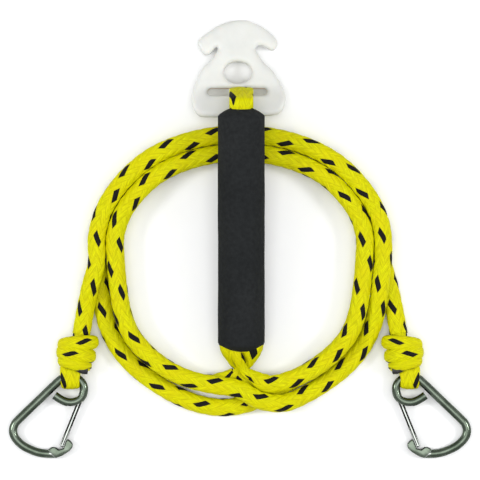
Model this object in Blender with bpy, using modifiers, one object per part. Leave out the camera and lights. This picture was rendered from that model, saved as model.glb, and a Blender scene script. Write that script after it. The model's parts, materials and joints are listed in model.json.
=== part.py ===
"""Boat tow harness: a two-leg rope bridle with a foam float, a plastic tow hook and two snap clips.

The harness lies coiled on a flat surface, +Z up, +Y towards the tow hook. Every size below is in
millimetres and MM turns it into metres. The two halves mirror each other across the plane x = 0,
except that the left line lies on top of the right line all round the coil.
"""

import math

import bmesh
import bpy
from mathutils import Matrix, Vector

MM = 0.001
GAP = 0.3                       # running gap between neighbouring solids

# Rope: hollow braid that lies flattened.
ROPE_WIDTH = 17.6
ROPE_HEIGHT = 12.0
LANE_PITCH = ROPE_WIDTH + 0.7   # between two strands that lie side by side
LOW = ROPE_HEIGHT / 2 + 0.2     # centre height of a strand on the ground
HIGH = LOW + ROPE_HEIGHT + 0.5  # centre height of a strand lying on another
ROUTE_STEP = 25.0               # distance between two points along a tow line
ROPE_NECK = 0.5                 # how narrow the knot draws a tow line where it leaves
ROPE_SECTION_POINTS = 10

# Foam float, a tube with domed ends, resting on the coil at the top and on the ground below.
FLOAT_X = 1.3
FLOAT_RADIUS = 23.4
FLOAT_BORE_RADIUS = 12.6
FLOAT_DOME_RADIUS = 34.4
FLOAT_LOW_Y = -111.5
FLOAT_HIGH_Y = 132.0
FLOAT_REST_Y = 86.0             # where it rests on the coil
CORE_REACH = 6.5                # the rope in the bore ends this deep, clear of the hook's rope

# Tow hook plate, in its own plane: x across, y towards the head, origin in the middle of the slot.
HOOK_SLOT_X = -2.65
HOOK_SLOT_Y = 147.3
HOOK_THICKNESS = 9.5
HOOK_EDGE_ROUND = 1.6
HOOK_TILT = math.radians(8.0)
HOOK_HEAD = 72.0                # from the slot to the tip of the head
HOOK_OUTLINE = [
    (-0.4, 72.3), (9.6, 72.3), (19.7, 68.3), (29.7, 62.2), (38.7, 53.2), (39.3, 46.2),
    (34.5, 42.0), (26.0, 46.7), (20.8, 46.8), (18.4, 42.2), (26.0, 30.2), (36.0, 20.1),
    (46.4, 1.7), (48.0, -10.4), (43.2, -20.0), (33.7, -23.5), (3.0, -24.6), (-26.8, -25.3),
    (-38.4, -23.6), (-45.0, -13.4), (-44.0, 2.4), (-36.6, 21.0), (-29.0, 29.5), (-23.0, 37.2),
    (-19.5, 43.4), (-21.7, 45.2), (-27.5, 38.6), (-32.8, 38.0), (-37.9, 44.9), (-38.8, 52.2),
    (-23.0, 64.6), (-10.2, 70.6),
]
HOOK_HOLE = (0.5, 19.8, 13.8, 11.2)   # centre x, centre y, half width, half height
SLOT_LENGTH = 59.0
SLOT_WIDTH = 7.2
BAND_WIDTH = 24.0               # the rope where it is spread flat round the hook's bar
BAND_HEIGHT = 5.0

# Snap clip, in its own plane: origin at the crown of the eye, where the rope bears.
CLIP_CROWN = (168.5, -136.8)
CLIP_BAR_RADIUS = 4.1
EYE_DROP = 12.7                 # from the crown down to the middle of the eye
CLIP_PATH = [
    (-19.5, -64.3), (-27.5, -63.9), (-34.5, -62.5), (-41.0, -60.0), (-47.5, -56.6),
    (-53.0, -52.0), (-57.0, -46.5), (-58.2, -40.5), (-56.6, -35.0), (-53.0, -30.3),
    (-33.0, -11.0), (-13.2, 8.0), (-7.6, 11.7), (0.0, 12.7), (7.5, 10.4), (11.9, 5.0),
    (12.7, 0.0), (11.4, -5.6), (7.6, -10.2), (1.8, -12.5), (-4.6, -12.2), (-10.6, -9.6),
    (-16.6, -5.6),
]
NOSE_OUTLINE = [
    (-23.5, -68.2), (-16.1, -68.4), (-9.0, -65.8), (-2.2, -61.4), (1.2, -57.6), (1.2, -54.2),
    (-0.8, -51.6), (-3.9, -49.4), (-7.7, -58.9), (-12.6, -60.3), (-15.6, -57.9), (-19.4, -57.7),
    (-23.5, -60.2),
]
NOSE_THICKNESS = 8.6
GATE_PIVOT = (11.1, -5.0)
GATE_TIP = (-9.9, -57.2)
GATE_WIDTH = 4.6
GATE_THICKNESS = 2.6
GATE_LEVEL = -0.6               # the gate runs low in its slot, with the spring above it
GATE_OPENING = math.radians(20.0)
GATE_SLOT_HEIGHT = 4.4
RIVET_RADIUS = 1.3
RIVET_LENGTH = 8.8
SPRING_WIRE_RADIUS = 0.4
SPRING_LEVEL = 1.4
EYE_BAND_WIDTH = 15.0
EYE_BAND_HEIGHT = 5.0

# Middle of the footprint of all but the loose rope, and the lowest point: this becomes the origin.
FOOTPRINT_MIDDLE = (0.0, 1.0, 0.2)

# Knots.
END_KNOT_CENTRE = (162.0, -113.0, 13.6)
END_KNOT_HALF = (20.0, 18.0, 13.2)

# Middle of the inner strand round one half of the coil, from its lowest to its highest point.
COIL_HALF = [
    (37.0, -143.0), (68.0, -131.5), (94.0, -112.0), (112.0, -88.0), (119.5, -60.0),
    (123.2, -28.0), (124.4, 2.0), (117.6, 25.0), (103.0, 46.0), (82.0, 65.0), (55.0, 78.0),
    (27.0, 85.0),
]
COIL_TOP = (0.0, 87.3)

YELLOW = (0.80, 0.74, 0.02, 1.0)
BLACK = (0.02, 0.02, 0.022, 1.0)
WHITE = (0.86, 0.84, 0.81, 1.0)
STEEL = (0.36, 0.40, 0.36, 1.0)


# ---------------------------------------------------------------- scene and materials

def clear_scene():
    for item in list(bpy.data.objects):
        bpy.data.objects.remove(item)


def new_collection(name):
    collection = bpy.data.collections.new(name)
    bpy.context.scene.collection.children.link(collection)
    return collection


def new_material(name, colour, roughness, metallic=0.0):
    material = bpy.data.materials.new(name)
    material.use_nodes = True
    shader = material.node_tree.nodes["Principled BSDF"]
    shader.inputs["Base Color"].default_value = colour
    shader.inputs["Roughness"].default_value = roughness
    shader.inputs["Metallic"].default_value = metallic
    return material


clear_scene()
PARTS = new_collection("boat_tow_harness")
CUTTERS = new_collection("cutters")
ROPE = new_material("rope", YELLOW, 0.6)
FOAM = new_material("foam", BLACK, 0.85)
PLASTIC = new_material("plastic", WHITE, 0.4)
METAL = new_material("steel", STEEL, 0.3, 1.0)


# ---------------------------------------------------------------- geometry helpers

def catmull_rom(a, b, c, d, t):
    return 0.5 * (2 * b + (c - a) * t + (2 * a - 5 * b + 4 * c - d) * t * t
                  + (3 * b - 3 * c + d - a) * t ** 3)


def smooth_route(points, step, pieces=24):
    """Evenly spaced points on a Catmull-Rom curve through the given points."""
    knots = [Vector(p) for p in points]
    padded = [2 * knots[0] - knots[1]] + knots + [2 * knots[-1] - knots[-2]]
    fine = []
    for a, b, c, d in zip(padded, padded[1:], padded[2:], padded[3:]):
        fine += [catmull_rom(a, b, c, d, k / pieces) for k in range(pieces)]
    fine.append(knots[-1])
    travelled = [0.0]
    for here, there in zip(fine, fine[1:]):
        travelled.append(travelled[-1] + (there - here).length)
    count = max(2, round(travelled[-1] / step))
    route = []
    i = 0
    for k in range(count + 1):
        wanted = travelled[-1] * k / count
        while i < len(fine) - 2 and travelled[i + 1] < wanted:
            i += 1
        span = travelled[i + 1] - travelled[i]
        route.append(fine[i].lerp(fine[i + 1], (wanted - travelled[i]) / span))
    return route


def ellipse_points(half_width, half_height, count, centre=(0.0, 0.0)):
    turns = [2 * math.pi * k / count for k in range(count)]
    return [(centre[0] + half_width * math.cos(t), centre[1] + half_height * math.sin(t))
            for t in turns]


def curve_from(name, splines, closed, dimensions="3D"):
    """A curve object of straight-sided splines, one for each list of points in millimetres."""
    curve = bpy.data.curves.new(name, "CURVE")
    curve.dimensions = dimensions
    for points in splines:
        spline = curve.splines.new("POLY")
        spline.points.add(len(points) - 1)
        for target, point in zip(spline.points, points):
            flat = list(point) + [0.0] * (3 - len(point))
            target.co = (flat[0] * MM, flat[1] * MM, flat[2] * MM, 1.0)
        spline.use_cyclic_u = closed
    return bpy.data.objects.new(name, curve)


def as_mesh(item):
    """Turns a curve object into a mesh object with welded caps, and removes the curve."""
    bpy.context.view_layer.update()
    depsgraph = bpy.context.evaluated_depsgraph_get()
    mesh = bpy.data.meshes.new_from_object(item.evaluated_get(depsgraph))
    work = bmesh.new()
    work.from_mesh(mesh)
    bmesh.ops.remove_doubles(work, verts=work.verts, dist=0.02 * MM)
    bmesh.ops.recalc_face_normals(work, faces=work.faces)
    work.to_mesh(mesh)
    work.free()
    name, place = item.name, item.matrix_world.copy()
    bpy.data.objects.remove(item)
    made = bpy.data.objects.new(name, mesh)
    made.matrix_world = place
    return made


def finish(item, material, parent=None):
    """Puts a part in the parts collection with its material, shaded smooth."""
    PARTS.objects.link(item)
    item.data.materials.clear()
    item.data.materials.append(material)
    item.data.shade_smooth()
    item.data.set_sharp_from_angle(angle=math.radians(35))
    if parent is not None:
        item.parent = parent
    return item


def guide(item):
    """Puts a cutter or a section in the cutters collection, out of the finished part."""
    CUTTERS.objects.link(item)
    item.hide_render = True
    item.display_type = "WIRE"
    return item


def tube(name, points, section, twist="Z_UP", radii=None):
    """A closed tube that carries the section curve along the points."""
    item = curve_from(name, [points], closed=False)
    curve = item.data
    curve.twist_mode = twist
    curve.bevel_mode = "OBJECT"
    curve.bevel_object = section
    curve.use_fill_caps = True
    if radii is not None:
        for target, radius in zip(curve.splines[0].points, radii):
            target.radius = radius
    PARTS.objects.link(item)
    return as_mesh(item)


def oval_section(name, width, height, count=ROPE_SECTION_POINTS):
    points = ellipse_points(width / 2, height / 2, count)
    return guide(curve_from(name, [points], closed=True, dimensions="2D"))


def plate(name, splines, thickness, level=0.0):
    """A flat plate with the first outline as its edge and any others as holes through it."""
    item = curve_from(name, splines, closed=True, dimensions="2D")
    item.data.fill_mode = "BOTH"
    item.data.extrude = thickness / 2 * MM
    PARTS.objects.link(item)
    made = as_mesh(item)
    made.data.transform(Matrix.Translation((0.0, 0.0, level * MM)))
    return made


def rod(name, radius, length, segments=20):
    mesh = bpy.data.meshes.new(name)
    work = bmesh.new()
    bmesh.ops.create_cone(work, cap_ends=True, segments=segments, radius1=radius * MM,
                          radius2=radius * MM, depth=length * MM)
    work.to_mesh(mesh)
    work.free()
    return bpy.data.objects.new(name, mesh)


def combine(item, other, operation):
    modifier = item.modifiers.new(operation.lower(), "BOOLEAN")
    modifier.operation = operation
    modifier.solver = "EXACT"
    modifier.object = other


def pivot(name, place, turn=(0.0, 0.0, 0.0)):
    """An empty on a joint's axis, which carries the pieces that turn there."""
    item = bpy.data.objects.new(name, None)
    item.location = Vector(place) * MM
    item.rotation_euler = turn
    PARTS.objects.link(item)
    return item


def hold(item, parent):
    """Parents an object without moving it."""
    bpy.context.view_layer.update()
    place = item.matrix_world.copy()
    item.parent = parent
    item.matrix_parent_inverse = parent.matrix_world.inverted()
    item.matrix_world = place


# ---------------------------------------------------------------- rope coil

def lane(points, outward):
    """Moves a strand's points outwards in plan, square to the way the strand runs."""
    moved = []
    ends = [points[0]] + points + [points[-1]]
    for before, here, after in zip(ends, points, ends[2:]):
        run = Vector((after[0] - before[0], after[1] - before[1])).normalized()
        moved.append((here[0] + run.y * outward, here[1] - run.x * outward))
    return moved


def at_height(points, height):
    return [(x, y, height) for x, y in points]


def mirrored(points):
    return [(-p[0],) + tuple(p[1:]) for p in points]


def full_turn(outward, height):
    """One strand up one side of the coil, over its top and down the other, seen for the left line."""
    up = lane(COIL_HALF + [COIL_TOP], outward)
    down = mirrored(up[:-1])[::-1]
    return at_height(up + down, height)


def left_line_route():
    """The left line lies on the right one. It leaves the float's knot to the right, makes one turn
    inside and most of a turn outside, and comes down on the left to its end knot."""
    leave = [(7.4, -132.6, 15.0), (13.0, -137.6, 17.4), (22.0, -141.6, HIGH)]
    inner = full_turn(0.0, HIGH)
    cross = [(-22.0, -144.6, HIGH), (-8.0, -146.4, HIGH), (4.0, -151.0, HIGH),
             (16.0, -158.0, HIGH), (30.0, -163.2, HIGH), (45.0, -162.2, 15.8),
             (62.0, -155.6, 10.6), (79.0, -146.4, 6.9)]
    outer = full_turn(LANE_PITCH, HIGH)[2:]
    ground = [LOW, LOW + 1.2, 14.6, HIGH + 0.6]
    outer[:4] = [(x, y, z) for (x, y, _), z in zip(outer, ground)]
    outer = outer[:-6]
    down = [(-142.6, -20.0, HIGH), (-145.0, -34.0, HIGH + 0.4), (-149.6, -48.0, 18.0),
            (-153.4, -66.0, 13.0), (-156.0, -80.0, 9.8), (-158.4, -94.0, 10.4)]
    return leave + inner + cross + outer + down


def right_line_route():
    """The right line lies on the ground. It leaves to the left and mirrors the left line."""
    leave = [(-5.6, -132.6, 11.4), (-11.6, -137.6, 7.8), (-21.0, -141.6, LOW)]
    inner = mirrored(full_turn(0.0, LOW))[:-1]
    cross = [(52.0, -140.2, LOW), (38.0, -148.2, LOW), (24.0, -156.2, LOW),
             (9.0, -162.8, LOW), (-8.0, -166.6, LOW), (-27.0, -166.6, LOW), (-50.0, -160.8, LOW)]
    outer = mirrored(full_turn(LANE_PITCH, LOW)[1:-6])
    down = [(142.6, -20.0, LOW), (145.0, -34.0, LOW), (149.6, -48.0, LOW),
            (153.4, -66.0, LOW), (156.0, -80.0, 7.6), (158.4, -94.0, 10.4)]
    return leave + inner + cross + outer + down


def make_tow_lines(section):
    for name, route in (("tow_line_left", left_line_route()),
                        ("tow_line_right", right_line_route())):
        points = smooth_route(route, ROUTE_STEP)
        radii = [ROPE_NECK] + [1.0] * (len(points) - 1)
        finish(tube(name, points, section, radii=radii), ROPE)


# ---------------------------------------------------------------- float and the rope in it

FLOAT_TILT_RISE = HIGH + ROPE_HEIGHT / 2 + GAP - 0.2
FLOAT_SINK = FLOAT_DOME_RADIUS - math.sqrt(FLOAT_DOME_RADIUS ** 2 - FLOAT_RADIUS ** 2)
FLOAT_TILT = math.atan(FLOAT_TILT_RISE / (FLOAT_REST_Y - FLOAT_LOW_Y - FLOAT_SINK))
FLOAT_LENGTH = (FLOAT_HIGH_Y - FLOAT_LOW_Y) / math.cos(FLOAT_TILT)
FLOAT_MID_Y = (FLOAT_HIGH_Y + FLOAT_LOW_Y) / 2
FLOAT_MID_Z = (FLOAT_RADIUS / math.cos(FLOAT_TILT) + 0.2
               + (FLOAT_MID_Y - FLOAT_LOW_Y - FLOAT_SINK) * math.tan(FLOAT_TILT))


def on_float_axis(along, above):
    """A point of the float's own plane x = FLOAT_X: along its axis from its middle, and above it."""
    y = FLOAT_MID_Y + along * math.cos(FLOAT_TILT) - above * math.sin(FLOAT_TILT)
    z = FLOAT_MID_Z + along * math.sin(FLOAT_TILT) + above * math.cos(FLOAT_TILT)
    return (FLOAT_X, y, z)


def dome_drop(radius):
    return FLOAT_DOME_RADIUS - math.sqrt(FLOAT_DOME_RADIUS ** 2 - radius ** 2)


def make_float():
    """The profile runs down the outside, round the lower dome and back up the bore."""
    half = FLOAT_LENGTH / 2
    radii = [FLOAT_BORE_RADIUS, 16.5, 20.2, FLOAT_RADIUS]
    top = [(r, half - dome_drop(r)) for r in radii]
    bottom = [(r, -half + dome_drop(r)) for r in reversed(radii)]
    mesh = bpy.data.meshes.new("foam_float")
    work = bmesh.new()
    rim = [work.verts.new((r * MM, 0.0, z * MM)) for r, z in top + bottom]
    for a, b in zip(rim, rim[1:] + rim[:1]):
        work.edges.new((a, b))
    work.to_mesh(mesh)
    work.free()
    item = bpy.data.objects.new("foam_float", mesh)
    item.location = Vector(on_float_axis(0.0, 0.0)) * MM
    item.rotation_euler = (FLOAT_TILT - math.pi / 2, 0.0, 0.0)
    screw = item.modifiers.new("turned", "SCREW")
    screw.axis = "Z"
    screw.steps = screw.render_steps = 32
    screw.use_merge_vertices = True
    screw.merge_threshold = 0.0001
    finish(item, FOAM)


def make_float_rope():
    """The two legs of the rope, drawn narrow, side by side through the float's bore."""
    width, height = 15.0, 9.4
    section = oval_section("core_section", width, height)
    half = FLOAT_LENGTH / 2
    above = height / 2 + GAP / 2
    for name, level in (("core_leg_upper", above), ("core_leg_lower", -above)):
        ends = [on_float_axis(-half + 0.6, level), on_float_axis(half - CORE_REACH, level)]
        finish(tube(name, smooth_route(ends, 40.0), section), ROPE)


def make_stopper_knot():
    """The knot that the float's lower end sits on, drawn down to a narrow neck."""
    half = FLOAT_LENGTH / 2
    head = [(on_float_axis(-half - 0.6, 0.0), 19.2), (on_float_axis(-half - 2.6, 0.0), 18.2)]
    tail = [((FLOAT_X, -118.6, 20.4), 15.2), ((FLOAT_X, -122.8, 17.2), 11.6),
            ((FLOAT_X, -126.4, 14.6), 8.2), ((FLOAT_X, -129.2, 13.2), 5.4)]
    points, radii = zip(*(head + tail))
    section = oval_section("knot_section", 2.0, 2.0, 16)
    finish(tube("stopper_knot", points, section, radii=radii), ROPE)


# ---------------------------------------------------------------- tow hook

HOOK_MID_Z = HOOK_HEAD * math.sin(HOOK_TILT) + HOOK_THICKNESS / 2 * math.cos(HOOK_TILT) + 0.3


def in_hook_plane(along, above):
    """A point in the plane x = FLOAT_X: along the hook's plate from its slot, and above it."""
    y = HOOK_SLOT_Y + along * math.cos(HOOK_TILT) + above * math.sin(HOOK_TILT)
    z = HOOK_MID_Z - along * math.sin(HOOK_TILT) + above * math.cos(HOOK_TILT)
    return (FLOAT_X, y, z)


def rounded_outline(points, pieces=3):
    """A closed Catmull-Rom curve through the points."""
    knots = [Vector(p) for p in points]
    n = len(knots)
    outline = []
    for i in range(n):
        a, b, c, d = (knots[(i + k) % n] for k in (-1, 0, 1, 2))
        outline += [catmull_rom(a, b, c, d, k / pieces) for k in range(pieces)]
    return outline


def slot_outline(length, width, arc_points=6):
    radius = width / 2
    outline = []
    for side, start in ((1, -math.pi / 2), (-1, math.pi / 2)):
        for k in range(arc_points + 1):
            turn = start + math.pi * k / arc_points
            outline.append((side * (length / 2 - radius) + radius * math.cos(turn),
                            radius * math.sin(turn)))
    return outline


def make_hook(parent):
    x, y, half_width, half_height = HOOK_HOLE
    hole = ellipse_points(half_width, half_height, 28, (x, y))
    splines = [rounded_outline(HOOK_OUTLINE), hole, slot_outline(SLOT_LENGTH, SLOT_WIDTH)]
    item = plate("tow_hook", splines, HOOK_THICKNESS)
    bevel = item.modifiers.new("rounded_edges", "BEVEL")
    bevel.width = HOOK_EDGE_ROUND * MM
    bevel.segments = 2
    bevel.limit_method = "ANGLE"
    bevel.angle_limit = math.radians(60)
    place = Matrix.Translation(Vector((HOOK_SLOT_X, HOOK_SLOT_Y, HOOK_MID_Z)) * MM)
    item.matrix_world = place @ Matrix.Rotation(-HOOK_TILT, 4, "X")
    finish(item, PLASTIC)
    hold(item, parent)


def make_hook_band(parent):
    """The rope leaves the bore, goes down through the slot, under the bar and back up."""
    half = FLOAT_LENGTH / 2
    round_bar = [(0.6, 14.0), (0.4, 6.0), (0.2, 0.0), (-0.2, -4.8), (-2.2, -7.8),
                 (-6.0, -9.0), (-14.0, -9.0), (-22.0, -8.6), (-28.2, -5.8), (-29.6, -0.4),
                 (-28.4, 5.0), (-24.6, 8.2)]
    points = [on_float_axis(half + 1.4, 3.8), on_float_axis(half + 7.0, 2.6),
              (FLOAT_X, 144.8, 46.0), (FLOAT_X, 148.2, 37.0)]
    points += [in_hook_plane(v, n) for v, n in round_bar]
    points += [(FLOAT_X, 129.6, 29.0), (FLOAT_X, 135.4, 34.6), (FLOAT_X, 138.2, 42.0),
               on_float_axis(half + 3.4, -5.6)]
    section = oval_section("band_section", BAND_WIDTH, BAND_HEIGHT, 10)
    item = tube("hook_band", smooth_route(points, 3.5), section, twist="MINIMUM")
    finish(item, ROPE)
    hold(item, parent)


# ---------------------------------------------------------------- snap clips

CLIP_CROWN_Z = EYE_BAND_HEIGHT + 0.4 + CLIP_BAR_RADIUS + 0.3
CLIP_TILT = math.asin((CLIP_CROWN_Z - NOSE_THICKNESS / 2 - 0.3) / (EYE_DROP + 66.0))


def clip_points(points, side):
    """Points measured from the middle of the eye, moved to the clip's own origin at the crown."""
    return [(-side * x, y - EYE_DROP) for x, y in points]


def gate_frame(side):
    """The gate's pivot, its closed direction and the direction in which it swings open."""
    base, tip = (Vector(p) for p in clip_points([GATE_PIVOT, GATE_TIP], side))
    along = (tip - base).normalized()
    inward = Vector((along.y, -along.x)) * (1 if side < 0 else -1)
    return base, along, inward, (tip - base).length


def turned(along, inward, angle):
    return along * math.cos(angle) + inward * math.sin(angle)


def gate_outline(side, hole_radius):
    base, along, inward, length = gate_frame(side)
    half = GATE_WIDTH / 2
    outline = [base + half * turned(inward, -along, math.pi * k / 8) for k in range(9)]
    outline += [base + along * (length - 1.2) - inward * half,
                base + along * length - inward * (half - 1.2),
                base + along * length + inward * (half - 1.2),
                base + along * (length - 1.2) + inward * half]
    return [outline, ellipse_points(hole_radius, hole_radius, 16, base)]


def slot_fan(side):
    """The room that the gate needs in the bar, from closed to wide open."""
    base, along, inward, _ = gate_frame(side)
    half = GATE_WIDTH / 2 + 0.5
    reach = 26.0
    wide_open = turned(along, inward, GATE_OPENING + math.radians(3))
    across = turned(inward, -along, GATE_OPENING + math.radians(3))
    fan = [base + half * turned(inward, -along, math.pi * k / 8) for k in range(1, 9)]
    fan += [base + along * reach - inward * half, base + wide_open * reach + across * half,
            base + across * half]
    return fan


def make_frame(side, name):
    path = smooth_route([(x, y, 0.0) for x, y in clip_points(CLIP_PATH, side)], 5.5)
    bar = curve_from(name, [path], closed=False)
    bar.data.bevel_depth = CLIP_BAR_RADIUS * MM
    bar.data.bevel_resolution = 3
    bar.data.use_fill_caps = True
    PARTS.objects.link(bar)
    bar = as_mesh(bar)
    nose = plate(name + "_nose", [clip_points(NOSE_OUTLINE, side)], NOSE_THICKNESS)
    bevel = nose.modifiers.new("rounded_edges", "BEVEL")
    bevel.width = 0.9 * MM
    bevel.segments = 1
    bevel.limit_method = "ANGLE"
    bevel.angle_limit = math.radians(60)
    fan = plate(name + "_fan", [slot_fan(side)], GATE_SLOT_HEIGHT)
    hole = rod(name + "_hole", RIVET_RADIUS + 0.15, 30.0)
    base = gate_frame(side)[0]
    hole.data.transform(Matrix.Translation((base.x * MM, base.y * MM, 0.0)))
    for piece, operation in ((nose, "UNION"), (fan, "DIFFERENCE"), (hole, "DIFFERENCE")):
        combine(bar, guide(piece), operation)
    return bar, (nose, fan, hole)


def make_spring(side, name):
    """A wire hairpin round the rivet, above the gate, whose legs push the gate shut."""
    base, along, inward, _ = gate_frame(side)
    bend = RIVET_RADIUS + 0.35 + SPRING_WIRE_RADIUS
    lean = math.radians(9)
    axis, across = turned(along, inward, lean), turned(inward, -along, lean)
    points = [base + axis * 13.0 - across * (bend - 0.2)]
    points += [base + bend * turned(-across, -axis, math.pi * k / 8) for k in range(9)]
    points += [base + axis * 13.0 + across * (bend - 0.2)]
    item = curve_from(name, [[(p.x, p.y, SPRING_LEVEL) for p in points]], closed=False)
    item.data.bevel_depth = SPRING_WIRE_RADIUS * MM
    item.data.bevel_resolution = 1
    item.data.use_fill_caps = True
    PARTS.objects.link(item)
    return as_mesh(item)


def make_clip(side, suffix):
    crown = (side * CLIP_CROWN[0], CLIP_CROWN[1], CLIP_CROWN_Z)
    swing = pivot("clip_pivot_" + suffix, crown, (CLIP_TILT, 0.0, 0.0))
    base = gate_frame(side)[0]
    hinge = pivot("gate_pivot_" + suffix, (base.x, base.y, 0.0))
    hinge.parent = swing
    frame, cutters = make_frame(side, "clip_frame_" + suffix)
    gate = plate("clip_gate_" + suffix, gate_outline(side, RIVET_RADIUS + 0.15),
                 GATE_THICKNESS, GATE_LEVEL)
    rivet = rod("gate_rivet_" + suffix, RIVET_RADIUS, RIVET_LENGTH)
    spring = make_spring(side, "gate_spring_" + suffix)
    to_hinge = Matrix.Translation((-base.x * MM, -base.y * MM, 0.0))
    gate.data.transform(to_hinge)
    for item, parent in ((frame, swing), (gate, hinge), (rivet, hinge), (spring, swing)):
        finish(item, METAL, parent)
    rivet.parent = swing
    rivet.location = (base.x * MM, base.y * MM, 0.0)
    for cutter in cutters:
        cutter.parent = swing


def make_eye_band(side, suffix, section):
    """The rope's end loop round the crown of the clip's eye, as wide as a flattened rope."""
    round_crown = [(5.0, 7.9), (0.0, 7.9), (-4.8, 7.2), (-8.6, 4.5), (-9.9, 0.0),
                   (-8.4, -4.0), (-4.8, -6.4), (0.0, -7.0), (5.0, -7.0)]
    x = side * CLIP_CROWN[0]
    points = [(x, CLIP_CROWN[1] + y, CLIP_CROWN_Z + z) for y, z in round_crown]
    finish(tube("eye_band_" + suffix, smooth_route(points, 3.0), section, twist="MINIMUM"), ROPE)


def make_end_knot(side, suffix):
    mesh = bpy.data.meshes.new("end_knot_" + suffix)
    work = bmesh.new()
    bmesh.ops.create_uvsphere(work, u_segments=16, v_segments=10, radius=MM)
    work.to_mesh(mesh)
    work.free()
    mesh.transform(Matrix.Diagonal((*END_KNOT_HALF, 1.0)))
    item = bpy.data.objects.new("end_knot_" + suffix, mesh)
    x, y, z = END_KNOT_CENTRE
    item.location = Vector((side * x, y, z)) * MM
    finish(item, ROPE)


# ---------------------------------------------------------------- assembly

def build():
    make_tow_lines(oval_section("rope_section", ROPE_WIDTH, ROPE_HEIGHT))
    make_float()
    make_float_rope()
    make_stopper_knot()
    mouth = on_float_axis(FLOAT_LENGTH / 2, 0.0)
    hook_pivot = pivot("hook_pivot", mouth)
    make_hook(hook_pivot)
    make_hook_band(hook_pivot)
    eye_section = oval_section("eye_section", EYE_BAND_WIDTH, EYE_BAND_HEIGHT)
    for side, suffix in ((-1, "left"), (1, "right")):
        make_clip(side, suffix)
        make_eye_band(side, suffix, eye_section)
        make_end_knot(side, suffix)


def move_to_origin():
    for item in list(PARTS.objects) + list(CUTTERS.objects):
        if item.parent is None:
            item.location = item.location - Vector(FOOTPRINT_MIDDLE) * MM


build()
move_to_origin()
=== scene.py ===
"""Looks of the boat tow harness: braided rope, foam float, moulded hook and steel snap clips.

Lengths are in millimetres and at() turns them into the frame's metres. Pieces are placed from the
frame's joints, and the rope's routes repeat the ones that the solids were made along.
"""

import json
import math

import bmesh
import bpy
import numpy as np
from mathutils import Matrix, Vector
from mathutils.geometry import delaunay_2d_cdt


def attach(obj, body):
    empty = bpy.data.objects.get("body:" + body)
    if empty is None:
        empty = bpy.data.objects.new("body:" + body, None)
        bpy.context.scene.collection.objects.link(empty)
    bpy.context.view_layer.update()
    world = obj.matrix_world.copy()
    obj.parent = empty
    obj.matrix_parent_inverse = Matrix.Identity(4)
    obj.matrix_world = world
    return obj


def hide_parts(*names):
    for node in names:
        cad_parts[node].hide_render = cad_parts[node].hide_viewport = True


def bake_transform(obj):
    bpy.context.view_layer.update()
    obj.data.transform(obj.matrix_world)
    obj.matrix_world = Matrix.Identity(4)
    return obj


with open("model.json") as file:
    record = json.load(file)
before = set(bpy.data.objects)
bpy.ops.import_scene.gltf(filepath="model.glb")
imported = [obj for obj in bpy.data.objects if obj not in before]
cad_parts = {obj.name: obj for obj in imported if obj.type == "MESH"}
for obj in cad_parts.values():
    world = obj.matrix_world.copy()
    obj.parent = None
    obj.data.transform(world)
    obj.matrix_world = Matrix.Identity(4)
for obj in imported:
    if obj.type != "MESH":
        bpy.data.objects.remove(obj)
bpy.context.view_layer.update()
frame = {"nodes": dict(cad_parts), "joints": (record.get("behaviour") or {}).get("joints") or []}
JOINTS = {joint["name"]: joint for joint in frame["joints"]}

MM = 0.001
FOOTPRINT_MIDDLE = (0.0, 1.0, 0.2)

# Rope: two sets of yarns that wind opposite ways, each passing over two and under two of the others.
ROPE_WIDTH = 17.6
ROPE_HEIGHT = 12.0
LANE_PITCH = ROPE_WIDTH + 0.7   # from one turn of the coil to the next
LOW = ROPE_HEIGHT / 2 + 0.2     # the rope's middle where it lies on the ground
HIGH = LOW + ROPE_HEIGHT + 0.5  # and where it lies on the other line
ROUTE_STEP = 25.0               # between the points of a tow line's solid
RING_STEP = 0.94                # between the rings of its mesh
NECK_LENGTH = 20.0              # it widens over this length from the stopper knot,
NECK_SHARE = 0.6                # where it has this share of its size
YARNS = 8                       # in each set
BRAID_PITCH = 96.0              # one turn of a yarn round the rope
DRAWN_PITCH = 110.0             # the same where the rope is drawn narrow
SPREAD_PITCH = 130.0            # and where it is spread round the hook's bar
TRACER_EVERY = 4                # every fourth yarn of the first set is black
TRACER_WIDTHS = (0.80, 1.1)     # how much of its yarn a black leaf shape covers
LEAF_POWER = 2.3                # how blunt the leaf's tips are
YARN_RELIEF = 0.75              # how far a yarn stands up from the creases beside it
PLAIN_PLACE = 0.07              # a place in the pattern with no black in it

FLOAT_RADIUS = 23.4
FLOAT_SIDES = 144
FLOAT_BORE_RADIUS = 9.8         # the foam hugs the two legs
FLOAT_DOME_RADIUS = 34.4        # of the domed ends
FLOAT_SPAN = 243.5              # between its tips, as seen from above
CORE_REACH = 12.0               # how deep in the bore the two legs go over into the hook's band
CORE_SIZE = (15.0, 8.6)         # width and height of a leg in the bore

HOOK_SLOT = (-2.65, 147.3)      # the slot's middle, from which the hook's other places are taken
HOOK_THICKNESS = 9.5
HOOK_ROUNDING = 5.0             # how far in from an edge its face starts to fall away
HOOK_DROP = 3.3                 # how much lower the face is at the edge
HOOK_HEAD = 72.0                # from the slot to the head, which rests on the ground
HOOK_TILT = math.radians(8.0)
HOOK_OUTLINE = [
    (-0.4, 72.3), (9.6, 72.3), (19.7, 68.3), (29.7, 62.2), (38.7, 53.2), (39.3, 46.2),
    (34.5, 42.0), (26.0, 46.7), (20.8, 46.8), (18.4, 42.2), (26.0, 30.2), (36.0, 20.1),
    (46.4, 1.7), (48.0, -10.4), (43.2, -20.0), (33.7, -23.5), (3.0, -24.6), (-26.8, -25.3),
    (-38.4, -23.6), (-45.0, -13.4), (-44.0, 2.4), (-36.6, 21.0), (-29.0, 29.5), (-23.0, 37.2),
    (-19.5, 43.4), (-21.7, 45.2), (-27.5, 38.6), (-32.8, 38.0), (-37.9, 44.9), (-38.8, 52.2),
    (-23.0, 64.6), (-10.2, 70.6),
]
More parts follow.
